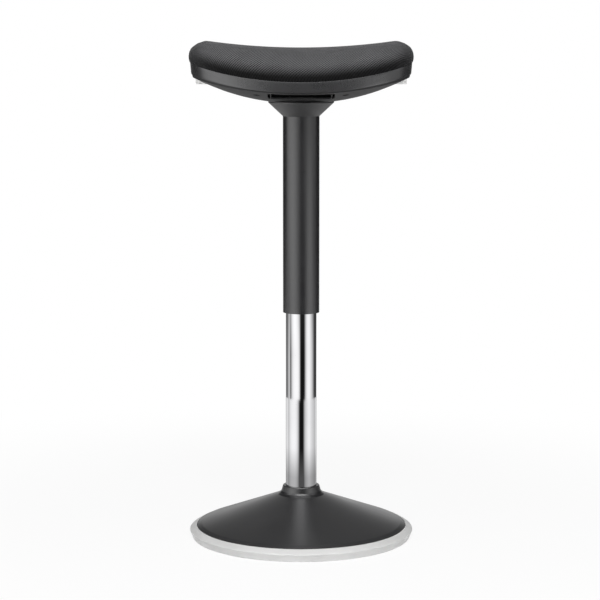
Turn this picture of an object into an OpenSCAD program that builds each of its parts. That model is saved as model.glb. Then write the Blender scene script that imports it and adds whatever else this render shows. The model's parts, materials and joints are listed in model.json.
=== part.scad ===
/* [Seat] */
// Width of the seat shell at its top edge, end to end
seat_w = 351.4; // [344:0.2:360]
// Depth of the seat shell at its top edge, front to back
seat_d = 262; // [254:1:272]
// Squareness of the plan: 2 is an ellipse, more is boxier
seat_square = 3; // [2.8:0.1:3.3]
// Radius of the saddle arc that every seat part follows
saddle_r = 575; // [520:5:640]
// Height of the shell's top edge above the floor, in the middle
seam_z = 741.6; // [738:0.1:760]

/* [Seat shell] */
// Height of the shell's visible side
rim_h = 17.8; // [15:0.2:20]
// Draft: how far the side's foot lies inside its top edge
rim_draft = 1.3; // [0.5:0.1:2]
// Rounding where the side turns under
rim_round = 2.6; // [2:0.1:3.5]
// Depth of the bowl below the side, in the middle
bowl_depth = 19.5; // [18:0.1:21]
// Step from the side down to the bowl at the seat's two ends
bowl_step = 2.5; // [1.5:0.1:4]
// Wall thickness of the shell
shell_t = 2.5; // [2:0.1:3]
// Length of the access window in the bowl's front and rear slope
window_w = 104; // [100:1:112]
// Distance from the column's axis to the window's inner edge
window_y = 68; // [64:1:72]
// Width of the lip that is left outside the window
window_lip = 11; // [9:0.5:14]
// Thickness of the two ribs across each window
rib_t = 1.2; // [1:0.1:1.6]
// Distance from the window's end in to its rib
rib_in = 3.9; // [3:0.1:5]
// Radius of the hole round the seat socket
shell_hole_r = 30; // [27:0.5:34]
// Distance of the shell screws from the middle, along the seat
screw_x = 69; // [64:1:72]
// Distance of the shell screws from the front and rear edges
screw_edge = 36; // [33:1:39]

/* [Cushion] */
// Height of the cushion's crest above the floor, in the middle
crest_z = 791.8; // [785:0.1:812]
// Radius of the crest's own long arc
crest_r = 1076; // [900:4:1400]
// Fall of the crest from the middle to the front and rear rolls
crown = 4; // [2:0.5:8]
// How far the cushion's side swells past the shell
bulge_out = 3; // [1.5:0.1:4]
// Height of the fullest part of the swell above the shell
bulge_h = 8; // [6:0.5:11]
// Width of the roll at the seat's two ends
roll_end = 27; // [24:1:34]
// Width of the roll at the front and rear
roll_front = 78; // [60:1:90]
// Thickness of the fabric cover
cover_t = 1.2; // [0.8:0.1:1.6]
// Width of the hem turned under the seat board
hem_w = 18; // [14:1:24]
// Thickness of the curved plywood board
board_t = 9; // [8:0.5:11]

/* [Seat bracket] */
// Thickness of the pressed steel
steel_t = 2.5; // [2:0.1:3]
// Distance between the inner faces of the two walls
bracket_w = 92.6; // [90:0.2:95]
// Distance from the ends of the walls out to the shell screws
bracket_end = 17; // [14:0.5:22]
// How far the floor stops short of each end of the walls
floor_in = 30; // [26:0.5:34]
// Depth of the floor's underside below the shell's top edge
floor_drop = 25; // [24:0.1:25.4]
// Width of each bolted flange
flange_w = 24; // [22:0.5:26]
// Distance of the bracket bolts from the ends of the walls
bolt_end = 26; // [20:0.5:32]
// Radius of the bracket bolts
bolt_r = 3; // [2.5:0.1:3.5]
// Length of the taper socket
socket_len = 43; // [40:0.5:45]
// Wall of the taper socket
socket_wall = 4.5; // [3.5:0.1:5]

/* [Release] */
// Radius of the release bar
bar_r = 3.5; // [3:0.1:3.8]
// Distance of the bar in front of the valve
bar_y = 18; // [16:0.5:20]
// Height of the bar's axis above the bracket floor
bar_h = 7; // [6.6:0.1:7.6]
// Distance from the bracket's wall out to where the bar starts to slope
crank_start = 10; // [8:0.5:14]
// Gap between a paddle and the bar's sloping part
crank_gap = 11; // [9:0.5:14]
// How much further the bar's ends rise than the seat's saddle does there
crank_lift = 1.9; // [0:0.1:3]
// Length of the paddles along the seat
paddle_w = 40; // [36:1:42]
// Length of the paddles in front of the bar
paddle_front = 32; // [28:1:36]
// Length of the paddles behind the bar
paddle_back = 24; // [16:1:26]
// Height of the paddles' walls
paddle_h = 10; // [8:0.5:11]
// Thickness of the paddles' face and walls
paddle_t = 2.5; // [2:0.1:3]
// Distance from the shell's end to the paddle's outer wall
paddle_inset = 9.7; // [9:0.1:12]
// Angle through which the release bar turns
release_deg = 8; // [6:0.5:8]

/* [Gas lift] */
// Outer radius of the chrome column
column_r = 25; // [24.5:0.1:25.5]
// Wall of the chrome column
column_t = 1.5; // [1.2:0.1:2]
// Height of the column's top end above the floor
column_top = 450; // [440:1:452]
// Outer radius of the gas cylinder
cyl_r = 14; // [13.5:0.1:14.5]
// Wall of the gas cylinder
cyl_t = 2.5; // [2:0.1:3]
// Length of the gas cylinder
cyl_len = 455; // [450:1:460]
// Radius of the piston rod
rod_r = 5; // [4.5:0.1:5.5]
// Length of the guide bush below the column's top
bush_len = 78; // [70:1:90]
// Gap over the rubber buffer with the seat at its lowest
buffer_gap = 2.8; // [2:0.2:8]
// Radius of the valve button
valve_r = 4; // [3.5:0.1:4.5]
// Height that the seat can rise from here
raise_h = 45; // [40:1:48]
// Height that the seat can sink from here
lower_h = 200; // [180:1:201]

/* [Sleeve and bell] */
// Outer radius of the black sleeve
sleeve_r = 29.3; // [29:0.1:30]
// Wall of the sleeve
sleeve_t = 2; // [1.6:0.1:2]
// Length of the sleeve
sleeve_len = 315.6; // [300:0.2:325]
// Length of the glide ring in the sleeve's lower end
glide_len = 20; // [15:1:30]
// Outer radius of the bell's top edge
bell_r = 52.5; // [50:0.5:54]
// Height of the bell's cone
bell_h = 21.7; // [20:0.1:24]
// Height of the upright band round the bell's top edge
bell_band = 1.5; // [1:0.1:2.5]
// Wall of the bell
bell_t = 2.5; // [2:0.1:3]

/* [Base] */
// Outer radius of the grey ring at its widest
ring_r = 181.6; // [179:0.2:190]
// Height of the ring's widest line
ring_mid_h = 12; // [10:0.2:13]
// How far the ring draws in from its widest line to the floor
ring_foot_in = 4.4; // [3:0.2:6]
// Distance from the ring's widest line in to the black dome's edge
dome_in = 11.2; // [9:0.2:14]
// Height of the dome's edge above the floor
dome_edge_h = 18.9; // [18:0.1:20]
// Rise of the dome per unit of radius
dome_slope = 0.38; // [0.36:0.005:0.4]
// Wall of the dome
dome_t = 2; // [1.5:0.1:2.5]
// Thickness of the ballast plate
ballast_t = 8; // [7:0.5:9]
// Distance from the ring's widest line in to the ballast plate
ballast_in = 21.6; // [20:0.2:26]
// Outer radius of the hub's socket
hub_r = 30; // [29:0.1:31]
// Radius of the hub's bolted flange
hub_flange_r = 62; // [58:1:70]
// Thickness of the hub's bolted flange
hub_flange_t = 6; // [5:0.5:7]
// Radius of the circle of hub bolts
hub_bolt_circle = 46; // [42:0.5:48]
// Radius of the hub bolts
hub_bolt_r = 4; // [3.5:0.1:4.5]
// Height of the collar above the dome's hub opening
collar_h = 11.7; // [9:0.1:14]

/* [Hidden] */
$fn = 96;

// Overrun of every cut past the face it leaves
over = 1;
// Clearance of running fits, per side
run_gap = 0.05;
// Clearance of assembled pieces that stay put, per side
fit_gap = 0.05;
// Clearance of loose bolt holes, per side
hole_gap = 0.3;
// Gap under soft and moulded parts that rest on each other
seat_gap = 0.3;

// Seat plan and saddle surface
seat_steps = 52;
bowl_end_pow = 2.35;
bowl_front_pow = 1.15;
bowl_shares = [0.14, 0.3, 0.45, 0.6, 0.75, 0.88];
function plan_r(t) = 1 / pow(pow(abs(cos(t)) / (seat_w / 2), seat_square)
    + pow(abs(sin(t)) / (seat_d / 2), seat_square), 1 / seat_square);
function plan_point(t, out) = (plan_r(t) + out) * [cos(t), sin(t)];
function plan_share(x, y) = pow(pow(abs(x) / (seat_w / 2), seat_square)
    + pow(abs(y) / (seat_d / 2), seat_square), 1 / seat_square);
function rise(x) = saddle_r - sqrt(saddle_r * saddle_r - x * x);
function crest_rise(x) = crest_r - sqrt(crest_r * crest_r - x * x);
function end_blend(t, at_end, at_front) = at_end * pow(cos(t), 2) + at_front * pow(sin(t), 2);
function bowl_z(x, y) = let (t = atan2(y, x), step = end_blend(t, bowl_step, 0))
    seam_z + rise(x) - rim_h - step - (bowl_depth - step)
    * (1 - pow(plan_share(x, y), end_blend(t, bowl_end_pow, bowl_front_pow)));
steps = [for (i = [0 : seat_steps - 1]) i * 360 / seat_steps];

// A ring of the seat's plan, moved out by a length and lifted above the shell's top edge
function saddle_ring(out, h) = [for (t = steps) let (p = plan_point(t, out))
    [p.x, p.y, seam_z + rise(p.x) + h]];
// The same, shrunk to a share of the plan
function share_ring(share, h) = [for (t = steps) let (p = plan_point(t, 0) * share)
    [p.x, p.y, seam_z + rise(p.x) + h]];
// A ring on the bowl, at a share of the plan
function bowl_ring(share, h) = [for (t = steps) let (p = plan_point(t, 0) * share)
    [p.x, p.y, bowl_z(p.x, p.y) + h]];

// Cushion surface, inset by a thickness from its outer face
roll_shape_share = 1.14;
function roll_w(t) = end_blend(t, roll_end, roll_front);
function crest_at(p) = crest_z + crest_rise(p.x) - crown * pow(p.y / (seat_d / 2), 2);
function roll_ring(a, inset) = let (c = pow(cos(a), roll_shape_share), s = pow(sin(a), roll_shape_share))
    [for (t = steps) let (
        p = plan_point(t, bulge_out - inset - (roll_w(t) - inset) * (1 - c)),
        low = seam_z + rise(p.x) + bulge_h)
        [p.x, p.y, low + (crest_at(p) - inset - low) * s]];
function crest_ring(share, inset) = [for (t = steps)
    let (p = plan_point(t, bulge_out - roll_w(t)) * share)
    [p.x, p.y, crest_at(p) - inset]];
roll_angles = [0, 18, 36, 54, 72, 90];
crest_shares = [0.66, 0.33];
side_shares = [0.25, 0.6];
function side_rings(foot, inset) = [for (s = side_shares)
    saddle_ring((bulge_out - inset) * sin(90 * s), foot + (bulge_h - foot) * s)];
function top_rings(inset) = concat([for (a = roll_angles) roll_ring(a, inset)],
    [for (s = crest_shares) crest_ring(s, inset)]);
function reversed(list) = [for (k = [len(list) - 1 : -1 : 0]) list[k]];

// A closed solid through rings, from its lower middle outwards, up and back to its upper middle;
// the first few steps between rings take the other diagonal, to lie flat on another such solid
function middle(ring) = [for (k = [0 : 2]) [for (p = ring) p[k]] * [for (p = ring) 1] / len(ring)];
module loft(rings, turned = 0) {
    n = len(rings[0]);
    last = len(rings) - 1;
    points = concat([for (r = rings) each r], [middle(rings[0]), middle(rings[last])]);
    sides = [for (k = [0 : last - 1], i = [0 : n - 1])
        let (j = (i + 1) % n, a = k * n + i, b = k * n + j, c = (k + 1) * n + i, d = (k + 1) * n + j)
            each k < turned ? [[a, c, b], [b, c, d]] : [[a, d, b], [a, c, d]]];
    lower = [for (i = [0 : n - 1]) [i, (i + 1) % n, len(points) - 2]];
    upper = [for (i = [0 : n - 1]) [last * n + (i + 1) % n, last * n + i, len(points) - 1]];
    polyhedron(points = points, faces = concat(sides, lower, upper));
}

module plan_2d(out) {
    polygon([for (t = steps) plan_point(t, out)]);
}
// A rectangle between two corners, with round corners
module rounded_2d(low, high, r) {
    translate([low.x + r, low.y]) square([high.x - low.x - 2 * r, high.y - low.y]);
    translate([low.x, low.y + r]) square([high.x - low.x, high.y - low.y - 2 * r]);
    for (x = [low.x + r, high.x - r], y = [low.y + r, high.y - r])
        translate([x, y]) circle(r = r, $fn = 48);
}
// Everything above the saddle surface at a height
module above_saddle(h) {
    translate([0, 0, seam_z + saddle_r + h])
        rotate([90, 0, 0])
            cylinder(h = 2 * seat_d, r = saddle_r, center = true, $fn = 360);
}
module mirror_copy(axis) {
    children();
    mirror(axis) children();
}
module tube(low, high, outer, inner) {
    difference() {
        translate([0, 0, low]) cylinder(h = high - low, r = outer);
        translate([0, 0, low - over]) cylinder(h = high - low + 2 * over, r = inner);
    }
}
// A rod of a length along X from a point
module cross_rod(x, y, z, length, r) {
    translate([x, y, z]) rotate([0, 90, 0]) cylinder(h = length, r = r, $fn = 48);
}

// Seat board, its bolts and its screws
board_h = cover_t + 2 * seat_gap;
board_edge_in = 8;
bolt_x = (bracket_w + flange_w + steel_t) / 2;
bolt_tilt = asin(bolt_x / saddle_r);
board_normal_t = board_t * cos(bolt_tilt);
bolt_tip_in = 1;
bolt_head_r = 5.8;
bolt_head_h = 4;
tnut_wall = 1.2;
tnut_r = bolt_r + tnut_wall;
tnut_flange_r = 9;
tnut_flange_t = 1.5;
screw_r = 2;
screw_head_r = 4.4;
screw_neck_r = 3.6;
screw_head_h = 2.6;
screw_pocket_gap = 0.8;
screw_pocket_h = 8;
screw_bite = 7;
boss_wall = 2.3;
boss_r = screw_head_r + screw_pocket_gap + boss_wall;
screw_y = seat_d / 2 - screw_edge;
screw_floor = bowl_z(screw_x, screw_y) + screw_pocket_h;

// Bracket, socket and valve
floor_z = seam_z - floor_drop;
floor_top = floor_z + steel_t;
wall_x = bracket_w / 2;
wall_lift = 1.5;
flange_top = seam_z + board_h + rise(bolt_x) - fit_gap;
taper_share = 0.022;
socket_low = floor_top - socket_len;
bracket_len = 2 * (screw_y - bracket_end);
floor_len = bracket_len - 2 * floor_in;
bolt_y = bracket_len / 2 - bolt_end;
socket_r = cyl_r + socket_wall;
cyl_top_in = 1.5;
cyl_top = floor_top - cyl_top_in;
cyl_low = cyl_top - cyl_len;
cyl_bore = cyl_r - cyl_t;
function cyl_taper_r(z) = cyl_r - taper_share * (z - socket_low);
valve_body_len = 27;
valve_len = 30;
nose_r = 5;
nose_w = 10;
nose_rise = 1.8;
nose_gap = 0.1;
bar_z = floor_top + bar_h;
valve_top = bar_z + nose_rise - nose_r - nose_gap;

// Column, bearing and rod
ring_lip_t = 3;
hub_z = ring_lip_t + ballast_t;
column_lift = 3;
end_plate_t = 3;
column_low = hub_z + column_lift;
end_top = column_low + end_plate_t;
race_t = 2.2;
race_r = 15;
ball_r = 2.2;
ball_circle = 11;
ball_count = 10;
cage_t = 1.6;
lower_race_top = end_top + race_t;
upper_race_low = lower_race_top + 2 * ball_r;
upper_race_top = upper_race_low + race_t;
spigot_in = 1;
spigot_r = rod_r - spigot_in;
piston_h = 12;
guide_len = 20;
guide_in = 2;
guide_low = cyl_low + guide_in;
top_stop_gap = 1;
piston_low = guide_low + guide_len + raise_h + top_stop_gap;
clip_t = 1.8;
clip_r = 8;
clip_mouth = 5;
buffer_r = 12;
buffer_top = cyl_low - lower_h - buffer_gap;
bush_cap_h = 3;

// Dome, hub and collar
dome_r = ring_r - dome_in;
ballast_r = ring_r - ballast_in;
function dome_z(r) = dome_edge_h + dome_slope * (dome_r - r);
dome_drop = dome_t * sqrt(1 + dome_slope * dome_slope);
shoulder_w = 8;
shoulder_h = 0.8;
hub_taper_share = 0.0125;
hub_top = dome_z(hub_r) - dome_drop - seat_gap;
function column_taper_r(z) = column_r - hub_taper_share * (hub_top - z);
hub_fillet = 12;
hub_bolt_head_r = 7.5;
hub_bolt_head_h = 5.3;
collar_wall = 5;
collar_foot_wall = 7;
collar_flare_wall = 13;
collar_bead = 2.2;
collar_lift = 2.6;
collar_low = dome_z(hub_r) + fit_gap;
collar_top = collar_low + collar_h;

// Bell and sleeve
bell_top = bowl_z(bell_r - bell_t, 0) - seat_gap;
cone_low = bell_top - bell_band - bell_h;
sleeve_low = cone_low - sleeve_len;
sleeve_bore = sleeve_r - sleeve_t;
spigot_len = 18;
spigot_t = 2.5;
web_t = 3;
glide_in = 1;
shell_lip_w = 1.2;
shell_lip_gap = 2.2;
shell_lip_h = 4;

// Paddles
paddle_corner = 10;
paddle_hub_r = 5.5;
paddle_hub_len = 26;
paddle_hub_in = 0.5;
paddle_slot = 3;
paddle_end_x = seat_w / 2 - paddle_inset;
paddle_x = paddle_end_x - paddle_w;
crank_h = rise(paddle_x) + crank_lift;
paddle_axis_z = bar_z + crank_h;
paddle_low = paddle_axis_z - paddle_hub_r - paddle_hub_in;
paddle_swing = (crank_h + paddle_h) * sin(release_deg);
paddle_front_y = -bar_y - paddle_front;
paddle_back_y = -bar_y + paddle_back;

ring_lip_w = 10;
ring_corner = 0.8;
ring_brow = 1.2;
dome_ledge_w = 7;
plate_ledge = 1;
function ring_profile() = [
    [ballast_r - ring_lip_w, 0],
    [ring_r - ring_foot_in - ring_corner, 0],
    [ring_r - ring_foot_in, ring_corner],
    [ring_r - ring_corner / 2, ring_mid_h - ring_brow],
    [ring_r, ring_mid_h],
    [ring_r - ring_corner, ring_mid_h + ring_brow],
    [dome_r + ring_brow, dome_edge_h - ring_corner / 2],
    [dome_r + fit_gap, dome_edge_h],
    [dome_r + fit_gap, dome_edge_h - dome_drop - fit_gap],
    [dome_r - dome_ledge_w, dome_z(dome_r - dome_ledge_w) - dome_drop - fit_gap],
    [ballast_r + seat_gap, ring_lip_t + ballast_t + plate_ledge],
    [ballast_r + seat_gap, ring_lip_t],
    [ballast_r - ring_lip_w, ring_lip_t]];
module floor_ring() {
    color([0.84, 0.84, 0.83])
        rotate_extrude($fn = 180)
            polygon(ring_profile());
}

pad_t = 2;
module base_pad() {
    color([0.1, 0.1, 0.1])
        translate([0, 0, ring_lip_t - pad_t])
            cylinder(h = pad_t, r = ballast_r - ring_lip_w - seat_gap, $fn = 180);
}

module at_hub_bolts() {
    for (a = [45 : 90 : 315])
        rotate([0, 0, a]) translate([hub_bolt_circle, 0, 0]) children();
}
module ballast_plate() {
    color([0.3, 0.3, 0.31])
        difference() {
            tube(ring_lip_t, hub_z, ballast_r, column_r - column_t);
            at_hub_bolts() translate([0, 0, ring_lip_t - over])
                cylinder(h = ballast_t + 2 * over, r = hub_bolt_r + fit_gap, $fn = 32);
        }
}

module hub_socket() {
    flange_top_z = hub_z + hub_flange_t;
    color([0.35, 0.35, 0.36])
        difference() {
            rotate_extrude()
                polygon([[0, hub_z], [hub_flange_r, hub_z], [hub_flange_r, flange_top_z],
                    [hub_r + hub_bolt_head_r / 2, flange_top_z], [hub_r, flange_top_z + hub_fillet],
                    [hub_r, hub_top], [0, hub_top]]);
            translate([0, 0, hub_z - over])
                cylinder(h = hub_top - hub_z + 2 * over, r1 = column_taper_r(hub_z - over) + fit_gap,
                    r2 = column_taper_r(hub_top + over) + fit_gap);
            at_hub_bolts() translate([0, 0, hub_z - over])
                cylinder(h = hub_flange_t + 2 * over, r = hub_bolt_r + hole_gap, $fn = 32);
        }
}

module hub_bolts() {
    color([0.55, 0.55, 0.56])
        at_hub_bolts() {
            translate([0, 0, ring_lip_t + bolt_tip_in])
                cylinder(h = ballast_t - bolt_tip_in + hub_flange_t, r = hub_bolt_r, $fn = 32);
            translate([0, 0, hub_z + hub_flange_t])
                cylinder(h = hub_bolt_head_h, r = hub_bolt_head_r, $fn = 6);
        }
}

module base_shell() {
    edge_low = dome_edge_h - dome_drop;
    color([0.16, 0.16, 0.17])
        rotate_extrude($fn = 180)
            polygon([[hub_r, dome_z(hub_r) - dome_drop], [dome_r, edge_low],
                [dome_r, dome_edge_h - dome_t / 3], [dome_r - dome_t / 3, dome_edge_h],
                [dome_r - shoulder_w, dome_z(dome_r - shoulder_w) + shoulder_h],
                [hub_r, dome_z(hub_r)]]);
}

module column_collar() {
    top_r = column_r + collar_wall;
    foot_r = column_r + collar_foot_wall;
    flare_r = column_r + collar_flare_wall;
    bead_z = collar_top - collar_bead;
    color([0.13, 0.13, 0.13])
        rotate_extrude() {
            polygon([[column_r + run_gap, collar_low], [hub_r, collar_low],
                [flare_r, dome_z(flare_r) + fit_gap],
                [foot_r + (flare_r - foot_r) / 3, collar_low], [foot_r, collar_low + collar_lift],
                [top_r, bead_z], [column_r + run_gap, bead_z]]);
            translate([top_r - collar_bead, bead_z]) circle(r = collar_bead, $fn = 48);
            translate([column_r + run_gap, bead_z - over])
                square([collar_wall - collar_bead - run_gap, collar_bead + over]);
        }
}

module column_tube() {
    color([0.88, 0.88, 0.89])
        difference() {
            union() {
                translate([0, 0, hub_top]) cylinder(h = column_top - hub_top, r = column_r);
                translate([0, 0, column_low])
                    cylinder(h = hub_top - column_low, r1 = column_taper_r(column_low), r2 = column_r);
            }
            translate([0, 0, end_top])
                cylinder(h = column_top - end_top + over, r = column_taper_r(column_low) - column_t);
            translate([0, 0, hub_top])
                cylinder(h = column_top - hub_top + over, r = column_r - column_t);
            translate([0, 0, column_low - over])
                cylinder(h = end_plate_t + 2 * over, r = spigot_r + hole_gap, $fn = 48);
        }
}

module column_bush() {
    color([0.2, 0.2, 0.2])
        difference() {
            union() {
                translate([0, 0, column_top - bush_len])
                    cylinder(h = bush_len + fit_gap, r = column_r - column_t - fit_gap);
                translate([0, 0, column_top + fit_gap])
                    cylinder(h = bush_cap_h, r = column_r - fit_gap);
            }
            translate([0, 0, column_top - bush_len - over])
                cylinder(h = bush_len + bush_cap_h + 2 * over, r = cyl_r + run_gap);
        }
}

module at_balls() {
    for (i = [0 : ball_count - 1])
        rotate([0, 0, i * 360 / ball_count])
            translate([ball_circle, 0, lower_race_top + ball_r]) children();
}
module bearing_lower_race() {
    color([0.6, 0.6, 0.62]) tube(end_top, lower_race_top, race_r, spigot_r + hole_gap);
}
module bearing_cage() {
    low = lower_race_top + ball_r - cage_t / 2;
    color([0.75, 0.7, 0.5])
        difference() {
            tube(low, low + cage_t, race_r - seat_gap, spigot_r + 2 * hole_gap);
            at_balls() cylinder(h = cage_t + over, r = ball_r + fit_gap, center = true, $fn = 32);
        }
}
module bearing_balls() {
    color([0.7, 0.7, 0.72]) at_balls() sphere(r = ball_r - fit_gap / 2, $fn = 32);
}
module bearing_upper_race() {
    color([0.6, 0.6, 0.62]) tube(upper_race_low, upper_race_top, race_r, spigot_r + fit_gap);
}

module piston_rod() {
    foot = column_low - clip_t - 2 * seat_gap;
    color([0.7, 0.7, 0.72]) {
        translate([0, 0, upper_race_top])
            cylinder(h = piston_low - upper_race_top, r = rod_r, $fn = 48);
        translate([0, 0, foot]) cylinder(h = upper_race_top - foot, r = spigot_r, $fn = 48);
        translate([0, 0, piston_low]) cylinder(h = piston_h, r = spigot_r, $fn = 48);
    }
}
module rod_clip() {
    low = column_low - seat_gap - clip_t;
    color([0.3, 0.3, 0.3])
        difference() {
            tube(low, low + clip_t, clip_r, spigot_r + fit_gap);
            translate([0, -clip_mouth / 2, low - over]) cube([clip_r + over, clip_mouth, clip_t + 2 * over]);
        }
}
module rubber_buffer() {
    color([0.12, 0.12, 0.12]) tube(upper_race_top, buffer_top, buffer_r, rod_r + fit_gap);
}
module piston() {
    color([0.8, 0.8, 0.75]) tube(piston_low, piston_low + piston_h, cyl_bore - run_gap, spigot_r + fit_gap);
}

module gas_cylinder() {
    color([0.14, 0.14, 0.14])
        difference() {
            union() {
                translate([0, 0, cyl_low]) cylinder(h = socket_low - cyl_low, r = cyl_r);
                translate([0, 0, socket_low])
                    cylinder(h = cyl_top - socket_low, r1 = cyl_r, r2 = cyl_taper_r(cyl_top));
            }
            translate([0, 0, cyl_low - over]) cylinder(h = cyl_len + 2 * over, r = cyl_bore);
        }
}
module rod_guide() {
    color([0.75, 0.65, 0.35]) tube(guide_low, guide_low + guide_len, cyl_bore - fit_gap, rod_r + run_gap);
}
module valve_body() {
    color([0.65, 0.65, 0.66])
        tube(cyl_top - valve_body_len, cyl_top, cyl_bore - fit_gap, valve_r + run_gap);
}
module valve_button() {
    color([0.75, 0.6, 0.3])
        translate([0, 0, valve_top - valve_len]) cylinder(h = valve_len, r = valve_r, $fn = 48);
}

module sleeve() {
    color([0.15, 0.15, 0.15]) tube(sleeve_low, cone_low, sleeve_r, sleeve_bore);
}
module sleeve_glide() {
    low = sleeve_low + glide_in;
    color([0.2, 0.2, 0.2]) tube(low, low + glide_len, sleeve_bore - fit_gap, column_r + run_gap);
}
module bell_cover() {
    top_r = bell_r - bell_t;
    spigot_out = sleeve_bore - fit_gap;
    spigot_bore = spigot_out - spigot_t;
    web_top = socket_low - seat_gap;
    color([0.17, 0.17, 0.18])
        rotate_extrude()
            polygon([[cyl_r + run_gap, web_top - web_t], [spigot_bore, web_top - web_t],
                [spigot_bore, cone_low - spigot_len], [spigot_out, cone_low - spigot_len],
                [spigot_out, cone_low], [sleeve_r, cone_low],
                [bell_r, cone_low + bell_h], [bell_r, bell_top], [top_r, bell_top],
                [top_r, cone_low + bell_h], [spigot_bore, cone_low + bell_t],
                [spigot_bore, web_top], [cyl_r + run_gap, web_top]]);
}

module at_bolts() {
    for (sx = [-1, 1], sy = [-1, 1])
        translate([sx * bolt_x, sy * bolt_y, seam_z + board_h + rise(bolt_x)])
            rotate([0, -sx * bolt_tilt, 0])
                children();
}
module bracket_wall() {
    wall_top = flange_top - steel_t / 2 - (bolt_x - wall_x) * tan(bolt_tilt);
    half = bracket_len / 2;
    translate([wall_x, 0, 0])
        rotate([90, 0, 90])
            linear_extrude(steel_t)
                polygon([[-half, floor_z + wall_lift], [-floor_len / 2, floor_z],
                    [floor_len / 2, floor_z], [half, floor_z + wall_lift], [half, wall_top],
                    [-half, wall_top]]);
    translate([bolt_x, 0, flange_top])
        rotate([0, -bolt_tilt, 0])
            translate([wall_x - bolt_x, -half, -steel_t])
                cube([flange_w + steel_t / 2, bracket_len, steel_t]);
}
module seat_bracket() {
    color([0.72, 0.72, 0.73])
        difference() {
            union() {
                translate([-wall_x - steel_t, -floor_len / 2, floor_z])
                    cube([bracket_w + 2 * steel_t, floor_len, steel_t]);
                mirror_copy([1, 0, 0]) bracket_wall();
                translate([0, 0, socket_low])
                    cylinder(h = socket_len, r1 = socket_r - steel_t / 2, r2 = socket_r);
            }
            translate([0, 0, socket_low - over])
                cylinder(h = socket_len + 2 * over, r1 = cyl_taper_r(socket_low - over) + fit_gap,
                    r2 = cyl_taper_r(floor_top + over) + fit_gap);
            cross_rod(-bracket_w, -bar_y, bar_z, 2 * bracket_w, bar_r + run_gap);
            at_bolts() translate([0, 0, -steel_t - over])
                cylinder(h = steel_t + 2 * over, r = bolt_r + hole_gap, $fn = 32);
        }
}
module bracket_bolts() {
    grip = steel_t + fit_gap;
    color([0.6, 0.6, 0.62])
        at_bolts() {
            translate([0, 0, -grip])
                cylinder(h = grip + board_normal_t - bolt_tip_in, r = bolt_r, $fn = 32);
            translate([0, 0, -grip - bolt_head_h]) cylinder(h = bolt_head_h, r = bolt_head_r, $fn = 6);
        }
}
// Outline of a nut's barrel and flange, grown by a clearance and run out past both ends
module tnut_form(grow, past) {
    translate([0, 0, -past]) cylinder(h = board_normal_t - tnut_flange_t + past, r = tnut_r + grow, $fn = 32);
    translate([0, 0, board_normal_t - tnut_flange_t - grow])
        cylinder(h = tnut_flange_t + grow + past, r = tnut_flange_r + grow, $fn = 48);
}
module board_tnuts() {
    color([0.65, 0.65, 0.66])
        at_bolts()
            difference() {
                tnut_form(0, 0);
                translate([0, 0, -over])
                    cylinder(h = board_normal_t + 2 * over, r = bolt_r + fit_gap, $fn = 32);
            }
}

// One half of the bar past its straight middle: a slope, and the spindle that carries the paddle
bar_half = wall_x + steel_t + crank_start;
crank_run = paddle_x - crank_gap - bar_half;
crank_knuckle = 0.5;
spindle_in = 20;
module half_bar() {
    spindle_x = bar_half + crank_run;
    translate([bar_half, -bar_y, bar_z])
        rotate([0, atan2(crank_run, crank_h), 0])
            cylinder(h = norm([crank_run, crank_h]), r = bar_r, $fn = 48);
    translate([bar_half, -bar_y, bar_z]) rotate([0, 90, 0]) sphere(r = bar_r + crank_knuckle, $fn = 48);
    translate([spindle_x, -bar_y, paddle_axis_z]) rotate([0, 90, 0]) sphere(r = bar_r + crank_knuckle, $fn = 48);
    cross_rod(spindle_x, -bar_y, paddle_axis_z, paddle_x + spindle_in - spindle_x, bar_r);
}
finger_w = 12;
finger_r = 6;
module release_bar() {
    color([0.5, 0.5, 0.52]) {
        cross_rod(-bar_half, -bar_y, bar_z, 2 * bar_half, bar_r);
        mirror_copy([1, 0, 0]) half_bar();
        cross_rod(-finger_w / 2, -bar_y, bar_z, finger_w, finger_r);
        cross_rod(-nose_w / 2, 0, bar_z + nose_rise, nose_w, nose_r);
        translate([-nose_w / 2, -bar_y, bar_z + nose_rise - nose_r / 2]) cube([nose_w, bar_y, nose_r]);
    }
}
bar_clip_t = 1;
bar_clip_wall = 3;
bar_clip_mouth = 1;
module bar_clips() {
    outer = bar_r + bar_clip_wall;
    color([0.3, 0.3, 0.3])
        mirror_copy([1, 0, 0])
            difference() {
                cross_rod(wall_x + steel_t + seat_gap, -bar_y, bar_z, bar_clip_t, outer);
                cross_rod(wall_x, -bar_y, bar_z, 2 * steel_t + bar_clip_t, bar_r + fit_gap);
                translate([wall_x, -bar_y - bar_clip_mouth / 2, bar_z - outer - over])
                    cube([2 * steel_t + bar_clip_t, bar_clip_mouth, outer + over]);
            }
}

module paddle() {
    difference() {
        union() {
            difference() {
                translate([0, 0, paddle_low]) linear_extrude(paddle_h)
                    rounded_2d([paddle_x, paddle_front_y], [paddle_end_x, paddle_back_y], paddle_corner);
                translate([0, 0, paddle_low + paddle_t]) linear_extrude(paddle_h)
                    rounded_2d([paddle_x + paddle_t, paddle_front_y + paddle_t],
                        [paddle_end_x - paddle_t, paddle_back_y - paddle_t], paddle_corner - paddle_t);
            }
            cross_rod(paddle_x, -bar_y, paddle_axis_z, paddle_hub_len, paddle_hub_r);
        }
        cross_rod(paddle_x - over, -bar_y, paddle_axis_z, spindle_in + 2 * over, bar_r + fit_gap);
    }
}
module right_paddle() {
    color([0.85, 0.85, 0.84]) paddle();
}
module left_paddle() {
    color([0.85, 0.85, 0.84]) mirror([1, 0, 0]) paddle();
}

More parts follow.
